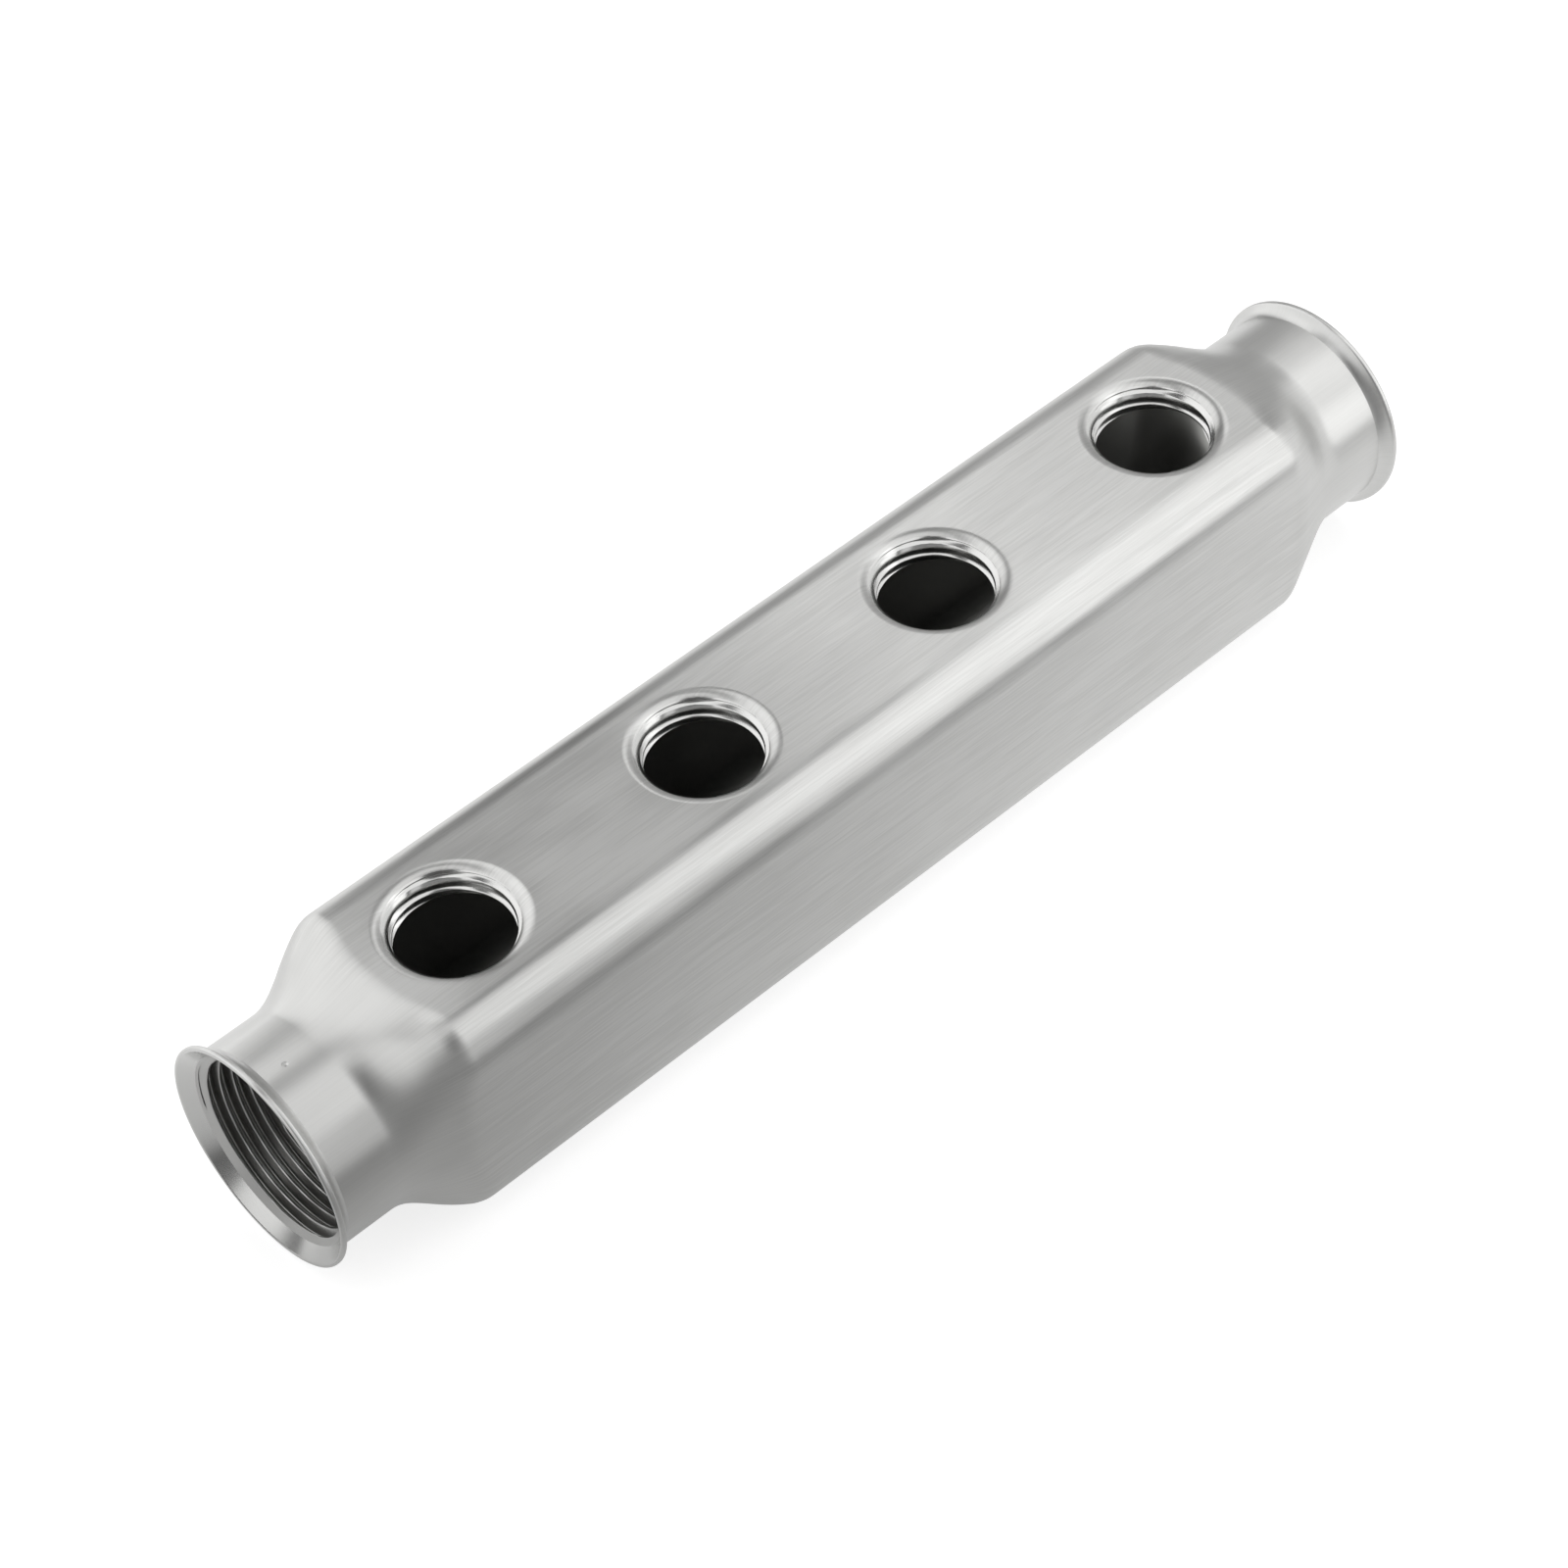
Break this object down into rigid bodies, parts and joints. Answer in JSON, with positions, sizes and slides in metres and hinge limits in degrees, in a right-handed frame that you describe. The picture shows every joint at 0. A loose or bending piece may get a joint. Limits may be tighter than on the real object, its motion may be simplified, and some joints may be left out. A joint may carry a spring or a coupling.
{
  "type": "distribution manifold",
  "caption": "Square steel tube necked down to round threaded ends, with a row of threaded outlets drawn inward through its top face, which splits one water supply between branches.",
  "frame": {"origin": "middle of the flat underside of the square body", "axes": "+X along the tube, +Y across it, +Z the way the outlets face"},
  "size_m": [0.23, 0.04, 0.04],
  "materials": {
    "stainless_steel": "satin brushed along the tube on the body, smoother on the necks, shoulders and rims, bright where the threads are cut"
  },
  "bodies": {
    "root": {"manifold_body": "stainless_steel"}
  },
  "joints": []
}
